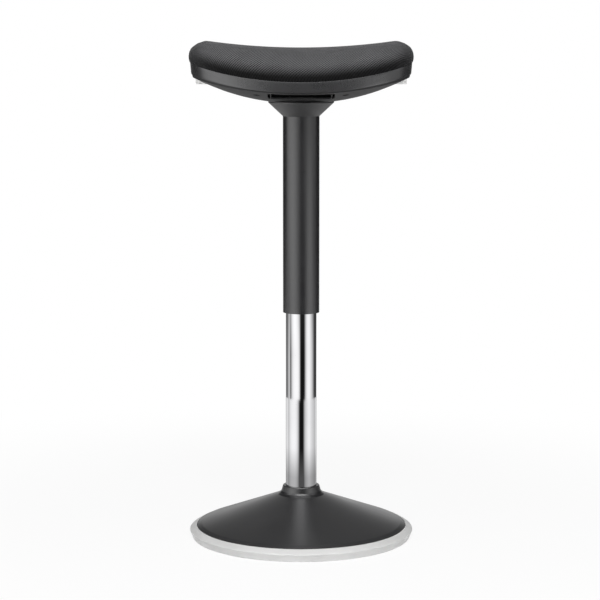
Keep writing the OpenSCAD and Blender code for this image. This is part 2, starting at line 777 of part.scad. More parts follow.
module shell_body() {
    rim_foot = rim_h - rim_round;
    foot_share = 1 - 2 * (rim_draft + rim_round) / seat_w;
    loft(concat(
        [for (s = bowl_shares) bowl_ring(s, 0)],
        [bowl_ring(foot_share, 0), saddle_ring(-rim_draft - rim_round / 3, -rim_h + rim_round / 5),
            saddle_ring(-rim_draft, -rim_foot), saddle_ring(0, 0), saddle_ring(-shell_t, 0),
            saddle_ring(-shell_t - rim_draft, -rim_foot + shell_t)],
        [for (s = reversed(bowl_shares)) bowl_ring(s, shell_t)]));
}
module at_screws() {
    for (sx = [-1, 1], sy = [-1, 1])
        translate([sx * screw_x, sy * screw_y, 0]) children();
}
module screw_bosses() {
    difference() {
        at_screws() translate([0, 0, bowl_z(screw_x, screw_y) + shell_t])
            cylinder(h = rim_h + bowl_depth, r = boss_r, $fn = 48);
        intersection() {
            above_saddle(board_h - seat_gap);
            translate([-seat_w / 2, -seat_d / 2, seam_z]) cube([seat_w, seat_d, seat_d]);
        }
    }
}
window_corner = 9;
// A thin rib across a window, from one edge of the wall to the other
module window_rib() {
    rib_x = window_w / 2 - rib_in - rib_t;
    inner_y = window_y - rib_t;
    outer_y = seat_d / 2 - window_lip + rib_t;
    hull()
        for (y = [inner_y, outer_y - rib_t])
            translate([rib_x, y, bowl_z(rib_x, y) + seat_gap])
                cube([rib_t, rib_t, shell_t - 2 * seat_gap]);
}
module seat_shell() {
    deep = rim_h + bowl_depth;
    color([0.2, 0.2, 0.21]) {
        difference() {
            union() {
                shell_body();
                screw_bosses();
                tube(bell_top + shell_lip_gap, bell_top + shell_lip_gap + shell_lip_h,
                    bell_r + shell_lip_w, bell_r - bell_t);
            }
            at_screws() {
                translate([0, 0, seam_z - deep])
                    cylinder(h = 2 * deep + rise(screw_x), r = screw_r + hole_gap, $fn = 32);
                translate([0, 0, screw_floor - deep])
                    cylinder(h = deep, r = screw_head_r + screw_pocket_gap, $fn = 48);
            }
            translate([0, 0, seam_z - deep - over]) cylinder(h = deep, r = shell_hole_r);
            mirror_copy([0, 1, 0])
                translate([0, 0, seam_z - deep])
                    linear_extrude(deep)
                        rounded_2d([-window_w / 2, window_y], [window_w / 2, seat_d / 2 - window_lip],
                            window_corner);
            mirror_copy([1, 0, 0])
                translate([0, 0, seam_z - deep])
                    linear_extrude(deep + rise(seat_w / 2))
                        rounded_2d([paddle_x - paddle_slot, paddle_front_y - paddle_slot],
                            [paddle_end_x + paddle_slot, paddle_back_y + paddle_slot + paddle_swing],
                            paddle_corner + paddle_slot);
        }
        mirror_copy([1, 0, 0]) mirror_copy([0, 1, 0]) window_rib();
    }
}
module shell_screws() {
    tip = seam_z + board_h + rise(screw_x) + screw_bite;
    color([0.6, 0.6, 0.62])
        at_screws() {
            translate([0, 0, screw_floor]) cylinder(h = tip - screw_floor, r = screw_r, $fn = 32);
            translate([0, 0, screw_floor - screw_head_h])
                cylinder(h = screw_head_h, r1 = screw_neck_r, r2 = screw_head_r, $fn = 48);
        }
}

module seat_board() {
    color([0.78, 0.65, 0.47])
        difference() {
            intersection() {
                translate([0, 0, seam_z]) linear_extrude(seat_d) plan_2d(-board_edge_in);
                above_saddle(board_h);
            }
            above_saddle(board_h + board_t);
            at_bolts() tnut_form(fit_gap, over);
            at_screws() translate([0, 0, seam_z])
                cylinder(h = rise(screw_x) + board_h + screw_bite + seat_gap, r = screw_r + fit_gap, $fn = 32);
        }
}

foam_shares = [0.12, 0.5];
module seat_foam() {
    inset = cover_t + seat_gap;
    low = board_h + seat_gap;
    high = board_h + board_t + seat_gap;
    edge = board_edge_in - seat_gap;
    color([0.9, 0.85, 0.6])
        loft(concat([for (s = foam_shares) share_ring(s, high)],
            [saddle_ring(-edge, high), saddle_ring(-edge, low), saddle_ring(-inset, low)],
            side_rings(low, inset), top_rings(inset)));
}

module seat_cover() {
    low = seat_gap;
    color([0.22, 0.22, 0.23])
        loft(concat([for (s = reversed(crest_shares)) crest_ring(s, cover_t)],
            [for (a = reversed(roll_angles)) roll_ring(a, cover_t)],
            reversed(side_rings(low + cover_t, cover_t)),
            [saddle_ring(-cover_t, low + cover_t), saddle_ring(-hem_w, low + cover_t),
                saddle_ring(-hem_w, low), saddle_ring(-cover_t, low)],
            side_rings(low, 0), top_rings(0)),
            turned = len(crest_shares) + len(roll_angles) + len(side_shares));
}

floor_ring();
base_pad();
ballast_plate();
hub_socket();
hub_bolts();
base_shell();
column_collar();
column_tube();
column_bush();
bearing_lower_race();
bearing_cage();
bearing_balls();
bearing_upper_race();
piston_rod();
rod_clip();
rubber_buffer();
piston();
gas_cylinder();
rod_guide();
valve_body();
valve_button();
sleeve();
sleeve_glide();
bell_cover();
seat_bracket();
bracket_bolts();
board_tnuts();
release_bar();
bar_clips();
left_paddle();
right_paddle();
seat_shell();
shell_screws();
seat_board();
seat_foam();
seat_cover();
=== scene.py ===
import math

import bmesh
import bpy
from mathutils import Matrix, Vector
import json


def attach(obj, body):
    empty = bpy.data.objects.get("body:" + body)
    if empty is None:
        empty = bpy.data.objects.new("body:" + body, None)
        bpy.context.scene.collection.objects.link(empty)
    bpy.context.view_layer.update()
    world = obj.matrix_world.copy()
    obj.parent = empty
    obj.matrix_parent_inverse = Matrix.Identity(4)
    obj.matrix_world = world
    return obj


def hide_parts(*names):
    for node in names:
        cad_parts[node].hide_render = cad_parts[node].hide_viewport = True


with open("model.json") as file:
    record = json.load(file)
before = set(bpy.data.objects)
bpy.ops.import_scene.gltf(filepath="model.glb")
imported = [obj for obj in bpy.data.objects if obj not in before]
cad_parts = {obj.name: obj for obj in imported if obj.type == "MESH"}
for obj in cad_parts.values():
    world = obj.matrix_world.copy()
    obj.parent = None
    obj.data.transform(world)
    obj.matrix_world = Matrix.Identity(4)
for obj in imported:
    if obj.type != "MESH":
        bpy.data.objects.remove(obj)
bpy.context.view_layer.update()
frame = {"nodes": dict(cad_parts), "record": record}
parts = frame["nodes"]
scene = bpy.context.scene
mm = 0.001

# where the photograph's camera stood, in metres and degrees
view = {"distance": 3.393, "height": 0.85, "side": -0.0019, "pitch": 7.76, "lens": 127.3,
        "sensor": 36, "clip": 50}


def placeCamera():
    lens = bpy.data.cameras.new("photoCamera")
    lens.lens = view["lens"]
    lens.sensor_width = view["sensor"]
    lens.clip_end = view["clip"]
    eye = bpy.data.objects.new("photoCamera", lens)
    eye.location = (view["side"], -view["distance"], view["height"])
    eye.rotation_euler = (math.radians(90 - view["pitch"]), 0, 0)
    scene.collection.objects.link(eye)
    scene.camera = eye


placeCamera()
print("camera is set")


class Value:  # wraps a socket, so that sums written in Python add Math nodes
    def __init__(self, finish, socket):
        self.finish = finish
        self.socket = socket

    def math(self, operation, other=None, swapped=False):
        pair = [other, self] if swapped else [self, other]
        items = {place: item for place, item in enumerate(pair) if item is not None}
        return self.finish.add("Math", {"operation": operation}, items)

    def __add__(self, other):
        return self.math("ADD", other)

    def __sub__(self, other):
        return self.math("SUBTRACT", other)

    def __rsub__(self, other):
        return self.math("SUBTRACT", other, True)

    def __mul__(self, other):
        return self.math("MULTIPLY", other)

    def __pow__(self, other):
        return self.math("POWER", other)

    __radd__ = __add__
    __rmul__ = __mul__

    def most(self, other):
        return self.math("MAXIMUM", other)

    def band(self, low, high, base=0.0):  # a smooth step from the base up to 1
        return self.finish.add("MapRange", {"interpolation_type": "SMOOTHSTEP"},
                               {0: self, 1: low, 2: high, 3: base, 4: 1.0})


class Finish:  # one material, or the world, and its nodes
    def __init__(self, name, tree=None, **constants):
        self.material = None
        self.tree = tree
        if tree is None:
            self.material = bpy.data.materials.new(name)
            self.material.use_nodes = True
            self.tree = self.material.node_tree
            self.shader = self.tree.nodes["Principled BSDF"]
            self.set(**constants)

    def feed(self, socket, item):
        if isinstance(item, Value):
            self.tree.links.new(item.socket, socket)
            return
        kept = socket.default_value
        isShade = hasattr(kept, "__len__") and len(kept) == 4 and len(item) == 3
        socket.default_value = (*item, 1.0) if isShade else item

    def add(self, kind, settings=None, inputs=None, output=0):
        node = self.tree.nodes.new("ShaderNode" + kind)
        for name, value in (settings or {}).items():
            setattr(node, name, value)
        for name, item in (inputs or {}).items():
            self.feed(node.inputs[name], item)
        return Value(self, node.outputs[output])

    def point(self):  # object coordinates, in metres
        return self.add("TexCoord", output="Object")

    def stretched(self, scale):  # object coordinates, scaled for a pattern
        return self.add("Mapping", None, {"Vector": self.point(), "Scale": scale})

    def axis(self, where, index):
        return self.add("SeparateXYZ", None, {0: where}, index)

    def noise(self, where, scale, detail=2.0, rough=0.5):
        return self.add("TexNoise", None, {"Vector": where, "Scale": scale, "Detail": detail,
                                           "Roughness": rough})

    def mix(self, share, one, other):
        return self.add("Mix", {"data_type": "RGBA"}, {0: share, 6: one, 7: other}, 2)

    def blend(self, share, one, other):  # mixes whole shaders
        return self.add("MixShader", None, {0: share, 1: one, 2: other})

    def bump(self, height, depth):
        return self.add("Bump", None, {"Height": height, "Distance": depth})

    def body(self):
        return Value(self, self.shader.outputs[0])

    def set(self, **sockets):
        for name, item in sockets.items():
            self.feed(self.shader.inputs[name.replace("_", " ")], item)
        return self.material

    def show(self, surface):
        self.tree.links.new(surface.socket, self.tree.nodes["Material Output"].inputs["Surface"])


# sizes in mm that the cushion, the shell and their finishes share, as in the part's source
seat = {"width": 351.4, "depth": 262.0, "square": 3.0, "saddle": 575.0, "seam": 741.6}


def toned(shade, share):
    return tuple(level * share for level in shade)


def heightOver(finish, level):  # height in metres over a level that is bent as the seat is
    x, z = finish.axis(finish.point(), 0), finish.axis(finish.point(), 2)
    bend = seat["saddle"] * mm
    return z - (bend - (bend ** 2 - x ** 2.0) ** 0.5) - level * mm


def heightAbove(finish, level, soft=0.5):  # 1 above a level, 0 below it
    return finish.axis(finish.point(), 2).band((level - soft) * mm, (level + soft) * mm)


# moulded, painted and cast surfaces; fine and broad are the scales of two noises, depth is in mm
mouldedLooks = {
    "shell_plastic": {"name": "grainedBlack", "shade": (0.021, 0.021, 0.022), "rough": 0.28,
                      "gloss": 1.0, "fine": 2600.0, "broad": 24.0, "speck": 0.12, "depth": 0.01},
    "dome_black": {"name": "smoothBlack", "shade": (0.028, 0.028, 0.029), "rough": 0.3,
                   "gloss": 0.5, "fine": 2600.0, "broad": 18.0, "speck": 0.12, "depth": 0.01},
    "sleeve_black": {"name": "satinBlack", "shade": (0.010, 0.010, 0.011), "rough": 0.3,
                     "gloss": 1.0, "fine": 3200.0, "broad": 40.0, "speck": 0.12, "depth": 0.01},
    "black_steel": {"name": "blackEnamel", "shade": (0.014, 0.014, 0.014), "rough": 0.35,
                    "gloss": 0.35, "fine": 2600.0, "broad": 24.0, "speck": 0.12, "depth": 0.02},
    "ballast": {"name": "castIron", "shade": (0.09, 0.09, 0.1), "rough": 0.6,
                "gloss": 0.5, "fine": 900.0, "broad": 16.0, "speck": 0.12, "depth": 0.2},
    "nylon": {"name": "darkNylon", "shade": (0.1, 0.1, 0.1), "rough": 0.45,
              "gloss": 0.35, "fine": 2600.0, "broad": 24.0, "speck": 0.12, "depth": 0.02},
    "paddle_grey": {"name": "lightGreyPlastic", "shade": (0.95, 0.95, 0.94), "rough": 0.6,
                    "gloss": 0.35, "fine": 2600.0, "broad": 24.0, "speck": 0.03, "depth": 0.01}}
moulding = {"dark": 0.8, "light": 1.2, "detail": 3.0, "contrast": 0.6, "broadRough": 0.1,
            "fineRough": 0.06}
# below its rim the shell is duller and has painted shade; the bell below it is rougher; heights in
# mm
dullShadedUnderside = {"level": 725.0, "low": -0.6, "high": 0.4, "shade": (0.012, 0.012, 0.0125),
             "rough": 0.6, "gloss": 0.4, "bellTop": 708.5, "bellRough": 0.2}


def makeMoulded(look, dullShaded=None):
    finish = Finish(look["name"], Specular_IOR_Level=look["gloss"])
    where = finish.point()
    fine = finish.noise(where, look["fine"], moulding["detail"], moulding["contrast"])
    broad = finish.noise(where, look["broad"])
    level = (fine - 0.5) * look["speck"] + (broad - 0.5) * look["speck"] + 1.0
    roughness = ((broad - 0.5) * moulding["broadRough"] + (fine - 0.5) * moulding["fineRough"]
                 + look["rough"])
    if dullShaded:
        onBell = 1.0 - heightAbove(finish, dullShaded["bellTop"])
        roughness = roughness + onBell * dullShaded["bellRough"]
        # painted shade: below the rim's foot the shell's colour turns darker, along with a duller
        # finish
        flat = finish.add("BsdfPrincipled", None, {
            "Base Color": dullShaded["shade"], "Roughness": dullShaded["rough"],
            "Specular IOR Level": dullShaded["gloss"]})
        overRim = heightOver(finish, dullShaded["level"]).band(dullShaded["low"] * mm, dullShaded["high"] * mm)
        finish.show(finish.blend((1.0 - overRim) * (1.0 - onBell), finish.body(), flat))
    dark, light = moulding["dark"], moulding["light"]
    return finish.set(
        Base_Color=finish.mix(level.band(dark, light), toned(look["shade"], dark),
                              toned(look["shade"], light)),
        Roughness=roughness,
        Normal=finish.bump(fine, look["depth"] * mm))


chrome = {"along": (1, 1, 0.02), "streak": 900, "cloud": 14, "dark": (0.6, 0.6, 0.61),
          "light": (0.64, 0.64, 0.65), "rough": 0.02, "vary": 0.03}


def makeChrome():
    finish = Finish("polishedChrome", Metallic=1.0)
    streak = finish.noise(finish.stretched(chrome["along"]), chrome["streak"])
    cloud = finish.noise(finish.point(), chrome["cloud"], 3.0)
    return finish.set(
        Base_Color=finish.mix(cloud.band(0.3, 0.7), chrome["dark"], chrome["light"]),
        Roughness=(streak - 0.5) * chrome["vary"] + cloud * chrome["vary"] + chrome["rough"])


metalLooks = {
    "zinc_steel": {"name": "zincPlated", "shade": (0.62, 0.62, 0.64), "rough": 0.36},
    "brass": {"name": "turnedBrass", "shade": (0.72, 0.55, 0.26), "rough": 0.3}}
metal = {"spangle": 160.0, "cloud": 30, "dark": 0.8, "fine": 700, "depth": 0.03,
         "spangleRough": 0.12, "cloudRough": 0.2}


def makeMetal(look):
    finish = Finish(look["name"], Metallic=1.0)
    where = finish.point()
    spangle = finish.add("TexVoronoi", None, {"Vector": where, "Scale": metal["spangle"]}, "Color")
    grey = finish.add("RGBToBW", None, {0: spangle})
    cloud = finish.noise(where, metal["cloud"], 4.0)
    return finish.set(
        Base_Color=finish.mix(grey * 0.5 + cloud * 0.5, toned(look["shade"], metal["dark"]),
                              look["shade"]),
        Roughness=((grey - 0.5) * metal["spangleRough"] + (cloud - 0.5) * metal["cloudRough"]
                   + look["rough"]),
        Normal=finish.bump(finish.noise(where, metal["fine"]), metal["depth"] * mm))


plywood = {"rough": 0.62, "grain": (1.5, 24, 60), "pores": (3, 160, 160), "scale": 9,
           "grainDetail": 6.0, "grainContrast": 0.62, "dark": (0.50, 0.34, 0.19),
           "light": (0.70, 0.53, 0.33), "pore": (0.36, 0.23, 0.12), "depth": 0.1}


def makePlywood():
    finish = Finish("beechPlywood", Roughness=plywood["rough"])
    grain = finish.noise(finish.stretched(plywood["grain"]), plywood["scale"],
                         plywood["grainDetail"], plywood["grainContrast"])
    pores = finish.noise(finish.stretched(plywood["pores"]), plywood["scale"])
    face = finish.mix(grain.band(0.3, 0.72), plywood["dark"], plywood["light"])
    return finish.set(
        Base_Color=finish.mix(pores.band(0.55, 0.75), face, plywood["pore"]),
        Normal=finish.bump(pores, plywood["depth"] * mm))


rubberLooks = {
    "ring": {"name": "greyRubber", "shade": (0.625, 0.625, 0.62), "rough": 0.5},
    "rubber_black": {"name": "blackRubber", "shade": (0.03, 0.03, 0.03), "rough": 0.7},
    "foam": {"name": "pouredFoam", "shade": (0.72, 0.64, 0.42), "rough": 0.9}}
rubber = {"gloss": 0.35, "fine": 1400, "broad": 22, "worn": 0.9, "wornShare": 0.6,
          "vary": 0.12, "depth": 0.04}


def makeRubber(look):
    finish = Finish(look["name"], Specular_IOR_Level=rubber["gloss"])
    where = finish.point()
    fine = finish.noise(where, rubber["fine"])
    broad = finish.noise(where, rubber["broad"], 4.0)
    return finish.set(
        Base_Color=finish.mix(broad.band(0.35, 0.7) * rubber["wornShare"], look["shade"],
                              toned(look["shade"], rubber["worn"])),
        Roughness=(broad - 0.5) * rubber["vary"] + look["rough"],
        Normal=finish.bump(fine, rubber["depth"] * mm))


# pitch and depth in mm; painted shade darkens the fabric's colour from dimHigh down to dimLow
# over the seam, and from endLow out to endHigh along the seat, standing in for shade there
fabric = {"pitchAcross": 4.7, "pitchAlong": 6.0, "depth": 0.32, "yarn": (0.111, 0.111, 0.115),
          "gap": (0.016, 0.016, 0.0165), "lean": 0.34, "eyeletLow": -0.25, "eyeletHigh": 0.5,
          "twistAcross": 6.0, "twistAlong": 2.0, "twistShare": 0.2, "cloud": 35,
          "cloudBase": 0.7, "cloudShare": 0.6, "rough": 0.85, "gloss": 0.1,
          "sheen": 0.12, "sheenRough": 0.42, "sheenTint": (0.8, 0.8, 0.82),
          "dimLow": 6.0, "dimHigh": 28.0, "dim": 0.05,
          "endLow": 145.0, "endHigh": 176.0, "endDim": 0.75}


def makeFabric():  # an open mesh: staggered eyelets between yarns that run mostly one way
    finish = Finish("knittedMesh", Roughness=fabric["rough"], Specular_IOR_Level=fabric["gloss"],
                    Sheen_Weight=fabric["sheen"], Sheen_Roughness=fabric["sheenRough"],
                    Sheen_Tint=fabric["sheenTint"])
    flat = finish.add("UVMap", {"uv_map": "weave"})
    across = finish.axis(flat, 0) * (math.tau / (fabric["pitchAcross"] * mm))
    along = finish.axis(flat, 1) * (math.tau / (fabric["pitchAlong"] * mm))
    lean = fabric["lean"]
    eyelets = ((across + along).math("COSINE") * lean
               + (across - along).math("COSINE") * (1 - lean))
    strands = across * fabric["twistAcross"] + along * fabric["twistAlong"]
    twist = strands.math("COSINE") * 0.5 + 0.5
    yarn = 1.0 - eyelets.band(fabric["eyeletLow"], fabric["eyeletHigh"])
    height = yarn * (1 - fabric["twistShare"]) + twist * yarn * fabric["twistShare"]
    cloud = finish.noise(finish.point(), fabric["cloud"], 3.0)
    # painted shade: the fabric's colour darkens towards the seam and towards the seat's ends
    paintedShade = heightOver(finish, seat["seam"]).band(fabric["dimLow"] * mm, fabric["dimHigh"] * mm,
                                                fabric["dim"])
    outward = finish.axis(finish.point(), 0) ** 2.0
    endShadeMask = outward.band((fabric["endLow"] * mm) ** 2, (fabric["endHigh"] * mm) ** 2)
    paintedShade = paintedShade * (1.0 - endShadeMask * fabric["endDim"])
    weave = finish.mix(yarn * (fabric["cloudBase"] + cloud * fabric["cloudShare"]),
                       fabric["gap"], fabric["yarn"])
    return finish.set(
        Base_Color=finish.mix(paintedShade, (0.0, 0.0, 0.0), weave),
        Normal=finish.bump(height, fabric["depth"] * mm))


finishes = {"chrome": makeChrome(), "plywood": makePlywood(), "fabric": makeFabric()}
for slot, look in mouldedLooks.items():
    finishes[slot] = makeMoulded(look, dullShadedUnderside if slot == "shell_plastic" else None)
for slot, look in metalLooks.items():
    finishes[slot] = makeMetal(look)
for slot, look in rubberLooks.items():
    finishes[slot] = makeRubber(look)
print("finishes are made:", len(finishes))


def dress(item, slot):
    item.data.materials.clear()
    item.data.materials.append(finishes[slot])


for row in frame["record"]["subparts"]:
    dress(parts[row["node"]], row["material_slot"])
print("solids are dressed:", len(parts))

meshing = {"sharp": 35, "weld": 0.001}  # degrees, mm


def linkMesh(name, shape):  # a bmesh becomes an object at the origin
    mesh = bpy.data.meshes.new(name)
    shape.to_mesh(mesh)
    shape.free()
    item = bpy.data.objects.new(name, mesh)
    scene.collection.objects.link(item)
    return item


def inMetres(shape):
    bmesh.ops.scale(shape, vec=(mm, mm, mm), verts=shape.verts)
    return shape


def finishPiece(name, shape, body, slot, sharp):  # a bmesh in mm becomes a piece in metres
    piece = linkMesh(name, inMetres(shape))
    piece.data.shade_smooth()
    piece.data.set_sharp_from_angle(angle=math.radians(sharp))
    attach(piece, body)
    dress(piece, slot)
    return piece


def closeUp(shape):
    bmesh.ops.remove_doubles(shape, verts=shape.verts, dist=meshing["weld"])
    bmesh.ops.recalc_face_normals(shape, faces=shape.faces)
    return shape


def loftRings(around, rings):  # wraps a grid into a closed loft; each ring gives a turn's point
    shape = bmesh.new()
    rows = len(rings) - 1
    bmesh.ops.create_grid(shape, x_segments=around, y_segments=rows, size=1)
    for vert in shape.verts:
        turn = (vert.co.x + 1) / 2 * math.tau
        vert.co = rings[round((vert.co.y + 1) / 2 * rows)](turn)
    return closeUp(shape)


def applyModifiers(piece):
    graph = bpy.context.evaluated_depsgraph_get()
    mesh = bpy.data.meshes.new_from_object(piece.evaluated_get(graph))
    piece.modifiers.clear()
    piece.data = mesh


def planPoint(turn, out=0.0, share=1.0):  # a point of the seat's outline, in mm
    across = abs(math.cos(turn)) / (seat["width"] / 2)
    along = abs(math.sin(turn)) / (seat["depth"] / 2)
    reach = (across ** seat["square"] + along ** seat["square"]) ** (-1 / seat["square"]) + out
    return reach * share * math.cos(turn), reach * share * math.sin(turn)


def planShare(x, y):  # 0 in the middle, 1 on the outline
    return ((abs(x) * 2 / seat["width"]) ** seat["square"]
            + (abs(y) * 2 / seat["depth"]) ** seat["square"]) ** (1 / seat["square"])


def rise(x):
    return seat["saddle"] - math.sqrt(seat["saddle"] ** 2 - x * x)


def endBlend(turn, endShadeMask, atFront):
    return endShadeMask * math.cos(turn) ** 2 + atFront * math.sin(turn) ** 2


def saddleRing(out, height, share=1.0):
    def point(turn):
        x, y = planPoint(turn, out, share)
        return x, y, seat["seam"] + rise(x) + height
    return point


# heights and widths in mm, as in the part's source; the foot stands below the rim's top, so
# that the seam stays closed, and the inset leaves room for the swelling
cushion = {"crest": 791.8, "crestArc": 1076.0, "crown": 4.0, "bulge": 3.0, "bulgeHeight": 8.0,
           "rollEnd": 27.0, "rollFront": 78.0, "rollShare": 1.14, "endShare": 1.04,
           "foot": -1.4, "hem": 0.0, "turnIn": 4.0, "around": 208, "rollStep": 6,
           "flat": (0, 0.2, 0.4, 0.6, 0.8, 0.9), "side": (0.12, 0.3, 0.5, 0.7, 0.85),
           "top": (0.92, 0.84, 0.72, 0.6, 0.45, 0.3, 0.15, 0), "sharp": 60,
           "voxel": 4.0, "inset": 0.4, "held": 2.0, "frames": 20, "quality": 5,
           "pressure": 4.0, "cap": 0.8, "fill": 0.9}


def crestAt(x, y):
    arc = cushion["crestArc"] - math.sqrt(cushion["crestArc"] ** 2 - x * x)
    return cushion["crest"] + arc - cushion["crown"] * (2 * y / seat["depth"]) ** 2


def rollRing(angle, inset):
    # the cloth rounds the tight ends, so they start fuller than the plain shape
    endShare = cushion["endShare"] if inset else cushion["rollShare"]

    def point(turn):
        share = endBlend(turn, endShare, cushion["rollShare"])
        lean = math.cos(math.radians(angle)) ** share if angle < 90 else 0.0
        up = math.sin(math.radians(angle)) ** share
        roll = endBlend(turn, cushion["rollEnd"], cushion["rollFront"])
        x, y = planPoint(turn, cushion["bulge"] - inset - (roll - inset) * (1 - lean))
        low = seat["seam"] + rise(x) + cushion["bulgeHeight"]
        return x, y, low + (crestAt(x, y) - inset - low) * up
    return point


def crestRing(share, inset):
    def point(turn):
        out = cushion["bulge"] - endBlend(turn, cushion["rollEnd"], cushion["rollFront"])
        x, y = planPoint(turn, out, share)
        return x, y, crestAt(x, y) - inset
    return point


def sideRing(share, inset):
    foot = cushion["foot"]
    return saddleRing((cushion["bulge"] - inset) * math.sin(math.pi / 2 * share),
                      foot + (cushion["bulgeHeight"] - foot) * share)


def cushionShape(inset):
    foot = cushion["foot"]
    rings = [saddleRing(0, foot, share) for share in cushion["flat"]]
    rings += [saddleRing(-cushion["turnIn"] - inset, foot),
              saddleRing(-cushion["hem"] - inset, foot)]
    rings += [sideRing(share, inset) for share in cushion["side"]]
    rings += [rollRing(angle, inset) for angle in range(0, 91, cushion["rollStep"])]
    rings += [crestRing(share, inset) for share in cushion["top"]]
    return loftRings(cushion["around"], rings)


def outwardAt(x, y, step=0.01):  # the outward direction in plan at a point
    if abs(x) + abs(y) <= 1:
        return Vector((0, 0))
    turn = math.atan2(y * seat["width"], x * seat["depth"])
    before, after = planPoint(turn - step), planPoint(turn + step)
    return Vector((after[1] - before[1], before[0] - after[0])).normalized()


def laySeatWeave(piece):  # the weave lies flat on the top and runs straight down the sides
    mesh = piece.data
    layer = mesh.uv_layers.new(name="weave")
    spots = []
    for vert in mesh.vertices:
        x, y, z = (c / mm for c in vert.co)
        drop = max(0.0, crestAt(x, y) - z)
        out = outwardAt(x, y)
        spots.append(((x + out.x * drop) * mm, (y + out.y * drop) * mm))
    for loop in mesh.loops:
        layer.data[loop.index].uv = spots[loop.vertex_index]


def swell(piece):  # cloth under pressure, with every point's travel capped
    before = [v.co.copy() for v in piece.data.vertices]
    cloth = piece.modifiers.new("swell", "CLOTH")
    cloth.settings.use_pressure = True
    cloth.settings.uniform_pressure_force = cushion["pressure"]
    cloth.settings.effector_weights.gravity = 0
    cloth.settings.quality = cushion["quality"]
    group = piece.vertex_groups.new(name="held")
    edge = seat["seam"] + cushion["foot"] + cushion["held"]
    held = [v.index for v in piece.data.vertices if v.co.z / mm < edge + rise(v.co.x / mm)]
    group.add(held, 1.0, "REPLACE")
    cloth.settings.vertex_group_mass = "held"
    for step in range(cushion["frames"]):
        scene.frame_set(step + 1)
    graph = bpy.context.evaluated_depsgraph_get()
    after = [v.co.copy() for v in piece.evaluated_get(graph).data.vertices]
    piece.modifiers.remove(cloth)
    scene.frame_set(1)
    cap = cushion["cap"] * mm
    for vert, start, end in zip(piece.data.vertices, before, after):
        travel = end - start
        if travel.length > cap:
            travel = travel.normalized() * cap
        vert.co = start + travel
    piece.vertex_groups.clear()


def softenCushion(piece):  # an even mesh, swelled and made fine
    remesh = piece.modifiers.new("even", "REMESH")
    remesh.mode = "VOXEL"
    remesh.voxel_size = cushion["voxel"] * mm
    remesh.use_smooth_shade = True
    applyModifiers(piece)
    swell(piece)
    fine = piece.modifiers.new("fine", "SUBSURF")
    fine.levels = fine.render_levels = 1
    applyModifiers(piece)
    piece.data.shade_smooth()


def makeCushion():
    shape = cushionShape(cushion["inset"])
    piece = finishPiece("seat_cushion", shape, "seat", "fabric", cushion["sharp"])
    softenCushion(piece)
    laySeatWeave(piece)
    dress(piece, "fabric")
    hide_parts("seat_cover", "seat_foam")
    print("cushion:", len(piece.data.polygons), "faces")


makeCushion()

# in mm, as in the part's source; places count from the column's axis
shell = {"rim": 17.8, "draft": 1.3, "round": 2.6, "bowl": 19.5, "step": 2.5, "endPow": 2.35,
         "frontPow": 1.15, "wall": 2.5, "hole": 30.0, "around": 256, "footBand": 0.008,
         "roundAt": (20, 45, 70, 90), "sideAt": (0.8, 0.6, 0.4, 0.2),
         "edge": ((-0.05, -0.6), (-0.25, -0.15), (-0.7, 0)),
         "shares": (0.0, 0.06, 0.12, 0.18, 0.24, 0.3, 0.36, 0.42, 0.48, 0.54, 0.6, 0.66, 0.72,
                    0.78, 0.83, 0.88, 0.92, 0.95)}
window = {"width": 104.0, "inner": 68.0, "lip": 11.0, "corner": 9.0,
          "ribAt": 47.5, "ribWide": 1.2, "ribSink": 0.3, "ribLap": 1.0}
screw = {"x": 69.0, "y": 95.0, "pocket": 5.2, "pocketDeep": 8.0, "bore": 2.3, "boss": 7.5,
         "bossSink": 0.5, "bossRise": 1.5}
lipRing = {"inner": 50.0, "outer": 53.7, "at": 50.0, "gap": 0.3, "rise": 2.2, "high": 4.0}
paddle = {"in": 126.0, "out": 166.0, "front": -50.0, "back": 6.0, "slot": 3.0, "corner": 10.0,
          "swing": 3.6}
cutting = {"below": 60.0, "above": 40.0, "cornerSteps": 8, "hole": 96, "boss": 48, "bore": 32}


def bowlAt(x, y):
    turn = math.atan2(y, x)
    step = endBlend(turn, shell["step"], 0)
    power = endBlend(turn, shell["endPow"], shell["frontPow"])
    return (seat["seam"] + rise(x) - shell["rim"] - step
            - (shell["bowl"] - step) * (1 - planShare(x, y) ** power))


def bowlRing(share, height):
    def point(turn):
        x, y = planPoint(turn, 0, share)
        return x, y, bowlAt(x, y) + height
    return point


def roundedBlock(low, high, corner, bottom, top):  # an upright block with round corners
    shape = bmesh.new()
    bmesh.ops.create_cube(shape, size=1)
    for vert in shape.verts:
        x, y, z = vert.co
        vert.co = (high[0] if x > 0 else low[0], high[1] if y > 0 else low[1],
                   top if z > 0 else bottom)
    upright = [e for e in shape.edges if abs(e.verts[0].co.z - e.verts[1].co.z) > 1]
    bmesh.ops.bevel(shape, geom=upright, offset=corner, segments=cutting["cornerSteps"],
                    affect="EDGES", profile=0.5, material=-1)
    return shape


def roundBar(x, y, bottom, top, radius, segments):
    shape = bmesh.new()
    bmesh.ops.create_cone(shape, cap_ends=True, segments=segments, radius1=radius,
                          radius2=radius, depth=top - bottom)
    bmesh.ops.translate(shape, vec=(x, y, (top + bottom) / 2), verts=shape.verts)
    return shape


def ringBar(inner, outer, low, high):  # a square-edged ring, spun from its section
    shape = bmesh.new()
    spots = ((inner, 0, low), (outer, 0, low), (outer, 0, high), (inner, 0, high))
    corners = [shape.verts.new(spot) for spot in spots]
    edges = [shape.edges.new((corners[i], corners[(i + 1) % 4])) for i in range(4)]
    bmesh.ops.spin(shape, geom=corners + edges, cent=(0, 0, 0), axis=(0, 0, 1),
                   angle=math.tau, steps=cutting["hole"], use_merge=True)
    return closeUp(shape)


